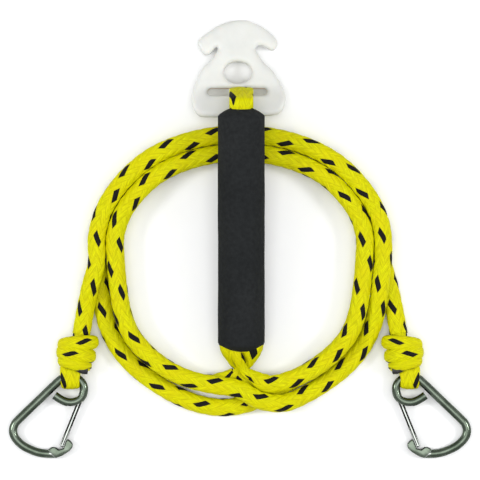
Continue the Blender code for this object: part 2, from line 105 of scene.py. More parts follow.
HOOK_HOLE = (0.5, 19.8, 13.8, 11.2)     # its middle and its half width and half height
SLOT_LENGTH = 59.0
SLOT_WIDTH = 7.2
BAND_WIDTH = 24.0
BAND_HEIGHT = 5.0

CLIP_CROWN = (168.5, -136.8)    # the top of the right clip's eye
CLIP_CROWN_Z = 9.8
CLIP_BAR_RADIUS = 4.1
EYE_DROP = 12.7                 # from the crown to the eye's middle, which the lists below start from
CLIP_PATH = [                   # the bar's middle line, from the nose to the cut end of the eye
    (-15.8, -64.4), (-19.5, -64.3), (-27.5, -63.9), (-34.5, -62.5), (-41.0, -60.0), (-47.5, -56.6),
    (-53.0, -52.0), (-57.0, -46.5), (-58.2, -40.5), (-56.6, -35.0), (-53.0, -30.3),
    (-33.0, -11.0), (-13.2, 8.0), (-7.6, 11.7), (0.0, 12.7), (7.5, 10.4), (11.9, 5.0),
    (12.7, 0.0), (11.4, -5.6), (7.6, -10.2), (1.8, -12.5), (-4.6, -12.2), (-10.6, -9.6),
    (-16.6, -5.6),
]
NOSE_OUTLINE = [
    (-16.1, -68.4), (-9.0, -65.8), (-2.2, -61.4), (1.2, -57.6), (1.2, -54.2),
    (-0.8, -51.6), (-3.9, -49.4), (-7.7, -58.9), (-12.6, -60.3), (-15.6, -57.9), (-19.4, -57.7),
    (-23.5, -60.2),
]
NOSE_THICKNESS = 8.6
NOSE_ROUNDING = 0.9
GATE_PIVOT = (11.1, -5.0)
GATE_TIP = (-9.9, -57.2)
GATE_TIP_CUT = 1.2              # how much its corners are cut off
GATE_WIDTH = 4.6
GATE_THICKNESS = 2.6
GATE_LEVEL = -0.6               # of its middle, from the bar's
GATE_OPENING = math.radians(20.0)
GATE_SLOT_HEIGHT = 4.4
GATE_SLOT_REACH = 26.0          # how far from the pivot the bar is cut for the gate
GATE_SLOT_SPARE = (0.5, math.radians(3.0))      # to each side, and past the open gate
GATE_GROOVE = (0.55, 1.0, 0.6)  # its grooves' distance from the middle, width and depth
GATE_GROOVE_ENDS = (4.6, 2.0)   # how far the grooves stop from the pivot and from the tip
RIVET_RADIUS = 1.3
RIVET_HOLE_RADIUS = RIVET_RADIUS + 0.15
ARC_POINTS = 16                 # in half a turn
EYE_BAND_WIDTH = 18.4
EYE_BAND_SHIFT = 0.8            # outwards from the crown
EYE_BAND_ROOT = 20.4            # its width where it comes out of the end knot
EYE_BAND_HEIGHT = 4.6

END_KNOT_CENTRE = (162.0, -113.0, 13.6)
COIL_HALF = [                   # the inner turn's right half, from the bottom up
    (37.0, -143.0), (68.0, -131.5), (94.0, -112.0), (112.0, -88.0), (119.5, -60.0),
    (123.2, -28.0), (124.4, 2.0), (117.6, 25.0), (103.0, 46.0), (82.0, 65.0), (55.0, 78.0),
    (27.0, 85.0),
]
COIL_TOP = (0.0, 87.3)
LAST_STRETCH = [                # from the coil to the right end knot
    (142.6, -20.0), (145.0, -34.0), (149.6, -48.0), (153.4, -66.0), (156.0, -80.0), (158.4, -94.0),
]

FLOOR_CLEARANCE = 0.05          # the rope's underside is pressed flat where it meets the floor

VIEW_WIDTH = 480.0
CAMERA_HEIGHT = 5.0             # in metres, like all the studio's sizes below
CAMERA_REACH = 50.0
SENSOR = 36.0
FLOOR_RADIUS = 6.0
FLOOR_LEVEL = -0.0002
SKY_COLOUR = (0.97, 0.985, 1.0, 1.0)
SKY_FADE = (0.0, 0.9, 0.32, 0.68)       # height of the sky from and to, brightness from and to
SOFTBOXES = [                           # name, place, width, depth, power
    ("left_softbox", (-1.5, 0.0, 1.25), 0.5, 0.45, 14.0),
    ("right_softbox", (1.5, 0.0, 1.25), 0.5, 0.45, 14.0),
    ("overhead_softbox", (0.0, 0.0, 6.2), 4.6, 4.6, 158.0),
]

# Colours, as the darkest and the lightest where a piece varies between two.
YELLOW = (0.40, 0.38, 0.0), (0.75, 0.76, 0.0)
YELLOW_PATCH = (0.62, 0.50, 0.0)
# Painted shade in the creases between the yarns.
YELLOW_CREASE_SHADE = (0.36, 0.31, 0.0)
BLACK = (0.002, 0.002, 0.002), (0.014, 0.013, 0.012)
MELTED_BLACK = (0.002, 0.002, 0.002), (0.014, 0.012, 0.013)
FOAM_BLACK = (0.0145, 0.0160, 0.0168), (0.0205, 0.0222, 0.0230)
FOAM_PORES = (0.0085, 0.009, 0.0095)
OFF_WHITE = (0.61, 0.615, 0.585), (0.67, 0.675, 0.645)
# The slot's tan is painted shade, a warm shade for the inside of the hook's slot.
SLOT_SHADE_TAN = (0.50, 0.36, 0.27), (0.58, 0.43, 0.33)
PAPER_WHITE = (0.90, 0.90, 0.90), (0.93, 0.93, 0.93)
CLIP_GREY = (0.085, 0.108, 0.080), (0.150, 0.180, 0.142)
# The gate's own lighter steel, also used for the painted highlight on the nose's seam.
GATE_GREY_AND_SEAM_HIGHLIGHT = (0.30, 0.32, 0.30), (0.42, 0.44, 0.41)
# Painted shade for the gate's edges and grooves.
GATE_SHADE_GREY = (0.006, 0.007, 0.006), (0.014, 0.016, 0.014)
SPRING_GREY = (0.34, 0.34, 0.33), (0.46, 0.46, 0.45)
STEEL_TINT = (0.10, 0.12, 0.10, 1.0)


# ---- places and curves

def at(point):
    """A point in millimetres, moved to the frame's origin and turned into metres."""
    return (Vector(point) - Vector(FOOTPRINT_MIDDLE)) * MM


def catmull_rom(a, b, c, d, t):
    """A place on the curve from b to c, which a and d lead into and out of."""
    return 0.5 * (2 * b + (c - a) * t + (2 * a - 5 * b + 4 * c - d) * t * t
                  + (3 * b - 3 * c + d - a) * t ** 3)


def smooth_route(points, step, pieces=24):
    """Evenly spaced points on a Catmull-Rom curve through the given points, as an array."""
    knots = [np.array(p, float) for p in points]
    padded = [2 * knots[0] - knots[1]] + knots + [2 * knots[-1] - knots[-2]]
    fine = []
    for a, b, c, d in zip(padded, padded[1:], padded[2:], padded[3:]):
        fine += [catmull_rom(a, b, c, d, k / pieces) for k in range(pieces)]
    return resampled(np.array(fine + [knots[-1]]), step)


def distances(points):
    """How far along the points each of them is."""
    return np.concatenate([[0.0], np.cumsum(np.linalg.norm(np.diff(points, axis=0), axis=1))])


def resampled(fine, step):
    """Evenly spaced points on a run of straight lines, the step apart as nearly as it divides."""
    travelled = distances(fine)
    count = max(2, round(travelled[-1] / step))
    wanted = np.linspace(0.0, travelled[-1], count + 1)
    return np.stack([np.interp(wanted, travelled, fine[:, k]) for k in range(fine.shape[1])], axis=1)


def route_length(points):
    return float(distances(points)[-1])


def unit(vectors):
    return vectors / np.linalg.norm(vectors, axis=-1, keepdims=True)


def smoothstep(value, low, high):
    t = np.clip((value - low) / (high - low), 0.0, 1.0)
    return t * t * (3 - 2 * t)


# ---- shader nodes

class Shader:
    """A material's node tree, with short calls for the nodes that it is made of."""

    def __init__(self, name, **constants):
        self.material = bpy.data.materials.new(name)
        self.material.use_nodes = True
        self.tree = self.material.node_tree
        self.principled = self.tree.nodes["Principled BSDF"]
        for socket, value in constants.items():
            self.principled.inputs[socket.replace("_", " ")].default_value = value

    def node(self, kind, inputs=(), output=0, **settings):
        made = self.tree.nodes.new("ShaderNode" + kind)
        for setting, value in settings.items():
            setattr(made, setting, value)
        for socket, value in dict(inputs).items():
            self.connect(made.inputs[socket], value)
        return made.outputs[output]

    def connect(self, socket, value):
        if isinstance(value, bpy.types.NodeSocket):
            self.tree.links.new(value, socket)
        else:
            socket.default_value = value

    def math(self, operation, a, b=0.0, c=0.0):
        return self.node("Math", {0: a, 1: b, 2: c}, operation=operation)

    def mix(self, factor, a, b):
        """A where the factor is 0 and b where it is 1, for numbers."""
        return self.math("MULTIPLY_ADD", factor, self.math("SUBTRACT", b, a), a)

    def mix_colour(self, factor, a, b):
        """The same for colours, each a socket or three numbers."""
        a, b = (c if isinstance(c, bpy.types.NodeSocket) else (*c, 1.0) for c in (a, b))
        return self.node("Mix", {0: factor, 6: a, 7: b}, output=2, data_type="RGBA")

    def noise(self, vector, scale, detail=3.0, roughness=0.55):
        return self.node("TexNoise", {"Vector": vector, "Scale": scale, "Detail": detail,
                                      "Roughness": roughness})

    def place(self):
        return self.node("TexCoord", output="Object")

    def remap(self, value, low, high, to_low, to_high):
        return self.node("MapRange", {0: value, 1: low, 2: high, 3: to_low, 4: to_high})

    def drive(self, socket, value):
        self.connect(self.principled.inputs[socket], value)

    def bump(self, height, distance, strength=1.0, base=None):
        inputs = {"Height": height, "Distance": distance, "Strength": strength}
        if base is not None:
            inputs["Normal"] = base
        return self.node("Bump", inputs)


def tracer_marks(s, first, second, first_yarn, order, first_on_top):
    """1 inside the leaf shape that a black yarn shows where it lies on top, and 0 elsewhere."""
    black_yarn = s.math("LESS_THAN", s.math("FLOORED_MODULO", first_yarn, float(TRACER_EVERY)), 0.5)
    length = s.math("MULTIPLY", s.math("ADD", s.math("FRACT", second), order), 0.5)
    width = s.math("FRACT", first)
    from_tip_to_tip = s.math("ABSOLUTE", s.math("SUBTRACT", length, width))
    off_middle = s.math("ABSOLUTE", s.math("SUBTRACT", s.math("ADD", length, width), 1.0))
    narrowing = s.math("POWER", from_tip_to_tip, LEAF_POWER)
    fullness = s.remap(s.noise(s.place(), 26.0, 1.0), 0.35, 0.65, *TRACER_WIDTHS)
    leaf = s.math("MULTIPLY", s.math("SUBTRACT", 1.0, narrowing), fullness)
    inside = s.remap(s.math("SUBTRACT", leaf, off_middle), 0.0, 0.05, 0.0, 1.0)
    return s.math("MULTIPLY", s.math("MULTIPLY", black_yarn, first_on_top), inside)


def yarn_film(s, across, length, first_on_top):
    """Fine fibres that run along each yarn, different on every yarn."""
    yarn = s.math("ADD", s.math("FLOOR", across), s.math("MULTIPLY", first_on_top, 0.37))
    lane = s.node("CombineXYZ", {0: s.math("MULTIPLY", across, 11.0),
                                 1: s.math("MULTIPLY", length, 0.8),
                                 2: s.math("MULTIPLY", yarn, 7.3)})
    return s.noise(lane, 1.0, 4.0, 0.6)


def rope_material():
    """The braid is worked out from the rope's own coordinates: once round it, and along it."""
    s = Shader("rope_braid", Roughness=0.55, Specular_IOR_Level=0.08)
    around = s.node("SeparateXYZ", {0: s.node("UVMap", uv_map="braid")})
    turns = around.node.outputs[1]
    first = s.math("MULTIPLY", s.math("SUBTRACT", around, turns), float(YARNS))
    second = s.math("MULTIPLY", s.math("ADD", around, turns), float(YARNS))
    first_yarn = s.math("FLOOR", first)
    order = s.math("FLOORED_MODULO", s.math("ADD", first_yarn, s.math("FLOOR", second)), 4.0)
    first_on_top = s.math("LESS_THAN", order, 1.5)
    tracer = tracer_marks(s, first, second, first_yarn, order, first_on_top)
    across = s.mix(first_on_top, second, first)
    film = yarn_film(s, across, s.mix(first_on_top, first, second), first_on_top)
    streak = s.remap(film, 0.3, 0.72, 0.0, 1.0)
    # Painted shade: each yarn darkens towards its edges, where it meets the creases beside it.
    off_centre = s.math("ABSOLUTE", s.math("SUBTRACT", s.math("FRACT", across), 0.5))
    crease = s.remap(off_centre, 0.34, 0.5, 0.0, 0.42)
    patches = s.remap(s.noise(s.place(), 55.0, 2.0), 0.35, 0.68, 0.0, 1.0)
    yellow = s.mix_colour(streak, *YELLOW)
    yellow = s.mix_colour(s.math("MULTIPLY", patches, 0.35), yellow, YELLOW_PATCH)
    yellow = s.mix_colour(crease, yellow, YELLOW_CREASE_SHADE)
    s.drive("Base Color", s.mix_colour(tracer, yellow, s.mix_colour(streak, *BLACK)))
    s.drive("Normal", s.bump(film, 0.0006, 0.75))
    return s.material


def cut_end_material():
    """The end of the rope, where the yarns are melted together."""
    s = Shader("rope_melted_end", Roughness=0.35)
    lumps = s.noise(s.place(), 700.0, 4.0)
    s.drive("Base Color", s.mix_colour(lumps, *MELTED_BLACK))
    s.drive("Normal", s.bump(lumps, 0.0006, 0.8))
    return s.material


def foam_material():
    """Closed cells under a smooth skin, a little uneven in tone."""
    s = Shader("float_foam", Roughness=0.72, Specular_IOR_Level=0.06)
    cells = s.node("TexVoronoi", {"Vector": s.place(), "Scale": 900.0})
    skin = s.noise(s.place(), 240.0, 5.0, 0.6)
    cloud = s.noise(s.place(), 18.0, 2.0)
    tone = s.mix_colour(s.remap(cloud, 0.3, 0.7, 0.0, 1.0), *FOAM_BLACK)
    s.drive("Base Color", s.mix_colour(s.remap(skin, 0.35, 0.7, 0.0, 0.5), tone, FOAM_PORES))
    s.drive("Roughness", s.remap(skin, 0.3, 0.7, 0.72, 0.9))
    pores = s.bump(cells, 0.00035, 0.35)
    s.drive("Normal", s.bump(skin, 0.0004, 0.4, base=pores))
    return s.material


def plastic_material(name, colours):
    """Moulded nylon: slightly translucent, with a fine grain."""
    s = Shader(name, Roughness=0.36, Subsurface_Weight=0.25, Subsurface_Scale=0.006,
               Subsurface_Radius=(1.0, 0.72, 0.5))
    cloud = s.noise(s.place(), 38.0, 3.0)
    grain = s.noise(s.place(), 850.0, 3.0, 0.6)
    s.drive("Base Color", s.mix_colour(s.remap(cloud, 0.3, 0.7, 0.0, 1.0), *colours))
    s.drive("Roughness", s.remap(grain, 0.3, 0.7, 0.3, 0.44))
    s.drive("Normal", s.bump(grain, 0.00012, 0.4))
    return s.material


def steel_material(name, colours, smooth, rough):
    """Polished bar with faint draw marks and a few dull patches."""
    s = Shader(name, Metallic=1.0, Specular_Tint=STEEL_TINT)
    patches = s.noise(s.place(), 70.0, 3.0)
    marks = s.noise(s.node("Mapping", {"Vector": s.place(), "Scale": (160.0, 160.0, 1400.0)}),
                    1.0, 4.0, 0.65)
    s.drive("Base Color", s.mix_colour(s.remap(patches, 0.3, 0.7, 0.0, 1.0), *colours))
    s.drive("Roughness", s.remap(marks, 0.3, 0.72, smooth, rough))
    s.drive("Normal", s.bump(marks, 0.00005, 0.3))
    return s.material


ROPE = rope_material()
ROPE_END = cut_end_material()
FOAM = foam_material()
NYLON = plastic_material("hook_nylon", OFF_WHITE)
# The second nylon paints the shade inside the hook's slot in tan.
SLOT_SHADE_NYLON = plastic_material("hook_slot_painted_shade", SLOT_SHADE_TAN)
STEEL = steel_material("clip_steel", CLIP_GREY, 0.20, 0.30)
GATE_STEEL_AND_SEAM_HIGHLIGHT = steel_material("gate_steel_and_seam_highlight", GATE_GREY_AND_SEAM_HIGHLIGHT, 0.16, 0.28)
GATE_SHADE_STEEL = steel_material("gate_painted_shade", GATE_SHADE_GREY, 0.2, 0.32)
SPRING_STEEL = steel_material("spring_steel", SPRING_GREY, 0.2, 0.34)


# ---- pieces

def linked(name, data):
    item = bpy.data.objects.new(name, data)
    bpy.context.scene.collection.objects.link(item)
    return item


def new_mesh(name, verts, faces):
    """A mesh from an array of places in millimetres and a list of faces."""
    mesh = bpy.data.meshes.new(name)
    mesh.from_pydata((verts * MM).tolist(), [], faces)
    return mesh


def add_piece(name, mesh, materials, body, node):
    """A visible piece that stands for a node. Without a body, it is left unattached."""
    item = linked(name, mesh)
    for material in materials:
        mesh.materials.append(material)
    mesh.shade_smooth()
    if body:
        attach(item, body)
    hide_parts(node)
    return item


def quad_corners(rings, around):
    """For each face between neighbouring rings, its corners' rings and their places in the ring."""
    ring = np.repeat(np.arange(rings), around)[:, None] + (0, 1, 1, 0)
    place = np.tile(np.arange(around), rings)[:, None] + (0, 0, 1, 1)
    return ring, place


def even_angles(width, height, count):
    """Angles that divide an ellipse into arcs of equal length."""
    fine = np.linspace(0.0, 2 * math.pi, 2001)
    travelled = distances(np.stack([width * np.cos(fine), height * np.sin(fine)], axis=1))
    return np.interp(np.arange(count) / count * travelled[-1], travelled, fine)


def braid_height(around, turns):
    """How far the yarn on top stands up, from 0 in a crease to 1 in the middle of its float."""
    first, second = YARNS * (around - turns), YARNS * (around + turns)
    first_yarn, second_yarn = np.floor(first), np.floor(second)
    order = np.mod(first_yarn + second_yarn, 4)
    first_on_top = order < 1.5
    across = np.where(first_on_top, first - first_yarn, second - second_yarn)
    length = np.where(first_on_top, second - second_yarn + order, first - first_yarn + order - 2) / 2
    crown = np.sqrt(np.clip(1 - np.abs(2 * across - 1) ** 2.4, 0.0, 1.0))
    swell = np.clip(np.sin(math.pi * np.clip(length, 0.0, 1.0)), 0.0, 1.0) ** 0.7
    return crown * (0.35 + 0.65 * swell)


def tube_directions(points, sides, closed):
    """The rope's sideways and upward directions at each point."""
    if closed:
        tangents = unit(np.roll(points, -1, axis=0) - np.roll(points, 1, axis=0))
    else:
        tangents = unit(np.gradient(points, axis=0))
    if sides is None:
        sides = np.cross(tangents, (0.0, 0.0, 1.0))
    sides = np.broadcast_to(np.asarray(sides, float), points.shape)
    sides = unit(sides - (sides * tangents).sum(axis=1, keepdims=True) * tangents)
    return sides, np.cross(sides, tangents)


def pattern_places(points, travelled, pitch, closed, stray, rng):
    """How far the braid has turned at each point, and how far it has wandered round the rope. A closed
    ring has one more entry than points, and takes as many turns as let the black yarns meet."""
    if closed:
        whole = travelled[-1] + np.linalg.norm(points[0] - points[-1])
        repeat = TRACER_EVERY / YARNS
        turns_in_all = max(1, round(whole / pitch / repeat)) * repeat
        return np.append(travelled, whole) / whole * turns_in_all, np.zeros(len(points) + 1)
    waves = rng.uniform(0.0, 2 * math.pi, 3)
    drift = stray * sum(0.045 / (k + 1) * np.sin(travelled * (k + 1) / 61.0 + waves[k])
                        for k in range(3))
    return travelled / pitch, drift


def braided_tube(points, widths, heights, sides=None, around=60, phase=0.0, pitch=BRAID_PITCH,
                 seed=0, closed=False, relief=YARN_RELIEF, wobble=0.0, ahead=0.0, stray=1.0):
    """A mesh of braided rope along the points, as wide and high as the lists say at each of them.
    The width lies level unless sides gives its direction. Phase and ahead, in turns, move the pattern
    round the rope and along it, and stray lets it wander as it does on a long rope. Wobble is the
    share by which the rope is now flatter and now rounder."""
    count = len(points)
    rng = np.random.default_rng(seed)
    sides, ups = tube_directions(points, sides, closed)
    travelled = distances(points)
    turns, drift = pattern_places(points, travelled, pitch, closed, stray, rng)
    turns, drift = turns + ahead, drift + phase

    angles = even_angles(float(np.mean(widths)), float(np.mean(heights)), around)
    u = np.arange(around + 1) / around
    stands_up = braid_height(u[None, :-1] + drift[:count, None], turns[:count, None]) * relief
    half_width = np.asarray(widths)[:, None, None] / 2 - relief * 0.6
    half_height = np.asarray(heights)[:, None, None] / 2 - relief * 0.6
    if wobble:
        waves = rng.uniform(0.0, 2 * math.pi, 4)
        swing = sum(np.sin(travelled / (17.0 + 13.0 * k) + waves[k]) for k in range(4)) / 4
        half_width = half_width * (1 + wobble * swing[:, None, None])
        half_height = half_height * (1 - wobble * swing[:, None, None])
    s, n = sides[:, None, :], ups[:, None, :]
    c, d = np.cos(angles)[None, :, None], np.sin(angles)[None, :, None]
    outward = unit(s * c / half_width + n * d / half_height)
    verts = points[:, None, :] + s * c * half_width + n * d * half_height
    verts = (verts + outward * stands_up[:, :, None]).reshape(-1, 3)
    verts[:, 2] = np.maximum(verts[:, 2], FLOOR_CLEARANCE)

    ring, place = quad_corners(count if closed else count - 1, around)
    faces = ring % count * around + place % around
    uvs = np.stack([u[place] + drift[ring], turns[ring]], axis=-1).reshape(-1, 2)
    return verts, faces, uvs, ([] if closed else [0, count - 1]), around


def rope_mesh(name, tubes, melted=0, mirror=False):
    """Joins braided tubes into one mesh, with a fan of faces over each open end. The last rings of the
    last tube, as many as melted says, take the second material."""
    verts, faces, uvs, materials = [], [], [], []
    base = 0
    for number, (tube_verts, tube_faces, tube_uvs, ends, around) in enumerate(tubes):
        melts = melted > 0 and number == len(tubes) - 1
        black_faces = melted * around if melts else 0
        verts.append(tube_verts)
        faces += (tube_faces + base).tolist()
        uvs.append(tube_uvs)
        materials += [0] * (len(tube_faces) - black_faces) + [1] * black_faces
        base_of_hubs = base + len(tube_verts)
        for far, ring in enumerate(ends):
            rim = np.arange(around) + ring * around
            verts.append(tube_verts[rim].mean(axis=0)[None, :])
            corners = [rim, np.roll(rim, -1)]
            a, b = reversed(corners) if far else corners
            faces += np.stack([np.full(around, base_of_hubs + far), base + a, base + b], axis=1).tolist()
            materials += [int(melts and far)] * around
            uvs.append(np.full((3 * around, 2), PLAIN_PLACE))
        base = base_of_hubs + len(ends)
    mesh = new_mesh(name, np.concatenate(verts) - np.array(FOOTPRINT_MIDDLE), faces)
    layer = mesh.uv_layers.new(name="braid")
    layer.data.foreach_set("uv", np.concatenate(uvs).ravel().astype(np.float32))
    mesh.polygons.foreach_set("material_index", np.array(materials, np.int32))
    if mirror:
        mesh.transform(Matrix.Diagonal((-1.0, 1.0, 1.0, 1.0)))
        mesh.flip_normals()
    mesh.update()
    return mesh


def full(points, value):
    return np.full(len(points), float(value))


# ---- camera

def make_camera():
    """High above the coil, looking straight down, with a lens long enough to show it flat."""
    data = bpy.data.cameras.new("camera")
    data.sensor_width = SENSOR
    data.lens = SENSOR * CAMERA_HEIGHT / (VIEW_WIDTH * MM)
    data.clip_end = CAMERA_REACH
    item = linked("camera", data)
    item.location = at((0.0, 0.0, CAMERA_HEIGHT / MM))
    bpy.context.scene.camera = item


# ---- tow lines

def lane(points, outward):
    """The points of a turn of the coil, moved outwards to lie beside it."""
    moved = []
    ends = [points[0]] + points + [points[-1]]
    for before, here, after in zip(ends, points, ends[2:]):
        run = Vector((after[0] - before[0], after[1] - before[1])).normalized()
        moved.append((here[0] + run.y * outward, here[1] - run.x * outward))
    return moved


def mirrored(points):
    return [(-p[0],) + tuple(p[1:]) for p in points]


def full_turn(outward, height):
    """Once round the coil from the bottom right, over the top, to the bottom left."""
    up = lane(COIL_HALF + [COIL_TOP], outward)
    down = mirrored(up[:-1])[::-1]
    return [(x, y, height) for x, y in up + down]


def left_line_route():
    """The line that lies on top, from the stopper knot to the left end knot."""
    leave = [(7.4, -132.6, 15.0), (13.0, -137.6, 17.4), (22.0, -141.6, HIGH)]
    inner = full_turn(0.0, HIGH)
    cross = [(-22.0, -144.6, HIGH), (-8.0, -146.4, HIGH), (4.0, -151.0, HIGH),
             (16.0, -158.0, HIGH), (30.0, -163.2, HIGH), (45.0, -162.2, 15.8),
             (62.0, -155.6, 10.6), (79.0, -146.4, 6.9)]
    outer = full_turn(LANE_PITCH, HIGH)[2:]
    ground = [LOW, LOW + 1.2, 14.6, HIGH + 0.6]
    outer[:4] = [(x, y, z) for (x, y, _), z in zip(outer, ground)]
    outer = outer[:-6]
    down = [(x, y, z) for (x, y), z in
            zip(mirrored(LAST_STRETCH), (HIGH, HIGH + 0.4, 18.0, 13.0, 9.8, 10.4))]
    return leave + inner + cross + outer + down


def right_line_route():
    """The line on the ground, from the stopper knot to the right end knot."""
    leave = [(-5.6, -132.6, 11.4), (-11.6, -137.6, 7.8), (-21.0, -141.6, LOW)]
    inner = mirrored(full_turn(0.0, LOW))[:-1]
    cross = [(52.0, -140.2, LOW), (38.0, -148.2, LOW), (24.0, -156.2, LOW),
             (9.0, -162.8, LOW), (-8.0, -166.6, LOW), (-27.0, -166.6, LOW), (-50.0, -160.8, LOW)]
    outer = mirrored(full_turn(LANE_PITCH, LOW)[1:-6])
    down = [(x, y, z) for (x, y), z in zip(LAST_STRETCH, (LOW, LOW, LOW, LOW, 7.6, 10.4))]
    return leave + inner + cross + outer + down


def make_tow_line(side, route, seed, phase):
    """One leg of the rope, drawn narrow where it leaves the stopper knot."""
    points = smooth_route(smooth_route(route, ROUTE_STEP), RING_STEP)
    travelled = np.linspace(0.0, route_length(points), len(points))
    size = NECK_SHARE + (1 - NECK_SHARE) * smoothstep(travelled, 0.0, NECK_LENGTH)
    name = "braided_line_" + side
    tube = braided_tube(points, ROPE_WIDTH * size, ROPE_HEIGHT * size, seed=seed, phase=phase,
                        wobble=0.022)
    item = add_piece(name, rope_mesh(name, [tube]), [ROPE], "harness", "tow_line_" + side)
    path = [tuple(at(p)) for p in points[::6]]
    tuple(path[0])


# ---- float and the rope in it

FLOAT_AXIS = Vector(JOINTS["float_spin"]["axis"]).normalized()
FLOAT_MIDDLE = Vector(JOINTS["float_spin"]["pos_m"])
FLOAT_TILT = math.atan2(FLOAT_AXIS.z, FLOAT_AXIS.y)
FLOAT_HALF = FLOAT_SPAN / math.cos(FLOAT_TILT) / 2


def on_float_axis(along, above):
    """A point in the float's upright plane, in millimetres."""
    middle = FLOAT_MIDDLE / MM + Vector(FOOTPRINT_MIDDLE)
    square = Vector((0.0, -math.sin(FLOAT_TILT), math.cos(FLOAT_TILT)))
    return tuple(middle + FLOAT_AXIS * along + square * above)


def dome_drop(radius):
    """How far the domed end has fallen back from its tip at this radius."""
    return FLOAT_DOME_RADIUS - math.sqrt(FLOAT_DOME_RADIUS ** 2 - radius ** 2)


def float_profile():
    """Half of the float's closed outline, mirrored: bore, mouth, dome, shoulder and side."""
    mouth, shoulder = 1.2, 1.0
    half = [(FLOAT_BORE_RADIUS, 0.0)]
    half += [(FLOAT_BORE_RADIUS, z) for z in np.linspace(20.0, 100.0, 4)]
    lip = FLOAT_HALF - dome_drop(FLOAT_BORE_RADIUS + mouth)
    half += [(FLOAT_BORE_RADIUS, lip - mouth), (FLOAT_BORE_RADIUS + 0.35, lip - 0.35)]
    half += [(r, FLOAT_HALF - dome_drop(r))
             for r in np.linspace(FLOAT_BORE_RADIUS + mouth, FLOAT_RADIUS - shoulder, 9)]
    edge = FLOAT_HALF - dome_drop(FLOAT_RADIUS - shoulder)
    half += [(FLOAT_RADIUS - 0.3, edge - 0.75), (FLOAT_RADIUS, edge - 1.7)]
    half += [(FLOAT_RADIUS, z) for z in np.linspace(edge - 6.0, 0.0, 34)]
    return half + [(r, -z) for r, z in reversed(half[1:-1])]


def make_float():
    """The profile turned round the float's axis, with shallow dents in its side."""
    profile = np.array(float_profile())
    turn = np.arange(FLOAT_SIDES) / FLOAT_SIDES * 2 * math.pi
    r, z = profile[:, 0][:, None], profile[:, 1][:, None]
    dents = (0.10 * np.sin(z / 19.0 + 2 * turn) + 0.07 * np.sin(z / 7.3 - 3 * turn)
             + 0.05 * np.sin(z / 31.0 + 5 * turn)) * smoothstep(r, 18.0, FLOAT_RADIUS)
    r = r - 0.16 + dents
    verts = np.stack([r * np.cos(turn), r * np.sin(turn), z + 0 * turn], axis=-1).reshape(-1, 3)
    ring, place = quad_corners(len(profile), FLOAT_SIDES)
    faces = ring % len(profile) * FLOAT_SIDES + place % FLOAT_SIDES
    mesh = new_mesh("foam_tube", verts, faces.tolist())
    turned_up = FLOAT_AXIS.to_track_quat("Z", "Y").to_matrix().to_4x4()
    mesh.transform(Matrix.Translation(FLOAT_MIDDLE) @ turned_up)
    settle_normals(mesh)
    add_piece("foam_tube", mesh, [FOAM], "float", "foam_float")


def settle_normals(mesh):
    """Welds the mesh and turns its faces outwards."""
    work = bmesh.new()
    work.from_mesh(mesh)
    bmesh.ops.remove_doubles(work, verts=work.verts, dist=0.005 * MM)
    bmesh.ops.recalc_face_normals(work, faces=work.faces)
    work.to_mesh(mesh)
    work.free()


def make_core_legs():
    """The two legs of the rope inside the float, one above the other."""
    width, height = CORE_SIZE
    above = height / 2 + 0.15
    for name, level, seed in (("core_leg_upper", above, 11), ("core_leg_lower", -above, 12)):
        ends = [on_float_axis(-FLOAT_HALF + 0.6, level), on_float_axis(FLOAT_HALF - CORE_REACH, level)]
        points = smooth_route(ends, 1.2)
        tube = braided_tube(points, full(points, width), full(points, height), around=40, seed=seed,
                            pitch=DRAWN_PITCH, relief=0.4)
        add_piece("braided_" + name, rope_mesh(name, [tube]), [ROPE], "harness", name)


# ---- stopper knot

LOBE_HEIGHTS = [24.0, 22.0, 17.0, 12.0, 9.0, 4.0]
STOPPER_STRANDS = [
    # route, widths and heights along it, seed, phase, ahead: the left and the right lobe first
    ([(-9.4, -103.0, 23.0), (-8.8, -109.6, 21.6), (-7.3, -116.2, 18.6), (-5.2, -122.6, 15.0),
      (-3.8, -126.6, 13.4), (-3.4, -128.4, 12.8)],
     [23.6, 21.2, 17.4, 13.2, 10.4, 5.0], LOBE_HEIGHTS, 21, 0.309, 0.0),
    ([(11.6, -103.0, 23.0), (11.2, -109.6, 21.6), (10.2, -116.2, 18.6), (8.4, -122.6, 15.0),
      (7.2, -126.2, 13.4), (6.6, -128.0, 12.8)],
     [24.2, 22.4, 18.6, 13.6, 10.4, 5.0], LOBE_HEIGHTS, 22, 0.764, 0.0),
    # from between the lobes to the line on the left, and below them to the line on the right
    ([(1.0, -118.0, 19.0), (0.6, -124.0, 16.0), (-1.2, -129.6, 13.6), (-5.0, -134.6, 11.6),
      (-11.0, -138.0, 8.6)], [9.0, 9.6, 9.8, 10.4, 11.4], [7.0, 7.4, 7.6, 7.8, 8.0], 24, 0.30, 0.0),
    ([(-2.0, -132.0, 13.0), (2.4, -138.4, 12.0), (9.0, -143.5, 11.0), (17.0, -148.0, 9.5)],
     [11.0, 12.5, 12.5, 11.0], [6.0, 7.0, 7.0, 6.0], 25, 0.40, 0.0),
    # over all of them, out of the bore to the line on the right
    ([(-4.6, -106.0, 31.0), (-3.6, -112.2, 29.6), (-1.6, -118.4, 25.6), (1.2, -125.0, 20.4),
      (4.2, -130.4, 17.2), (8.2, -134.6, 16.4), (12.4, -137.2, 16.4)],
     [10.5, 11.5, 12.0, 11.0, 10.4, 10.0, 7.0], [7.0, 7.5, 8.0, 8.0, 8.0, 7.6, 5.0], 23, 0.19, -0.105),
]


def make_stopper():
    """Two lobes of rope drawn together under the float, and the strands that leave between them."""
    tubes = []
    for route, widths, heights, seed, phase, ahead in STOPPER_STRANDS:
        points = smooth_route(route, 0.7)
        spread = np.linspace(0.0, 1.0, len(route))
        place = np.linspace(0.0, 1.0, len(points))
        tubes.append(braided_tube(points, np.interp(place, spread, widths),
                                  np.interp(place, spread, heights), around=52, seed=seed, phase=phase,
                                  ahead=ahead, pitch=DRAWN_PITCH, relief=0.45))
    add_piece("stopper_turns", rope_mesh("stopper_turns", tubes), [ROPE], "harness",
              "stopper_knot")


# ---- end knots

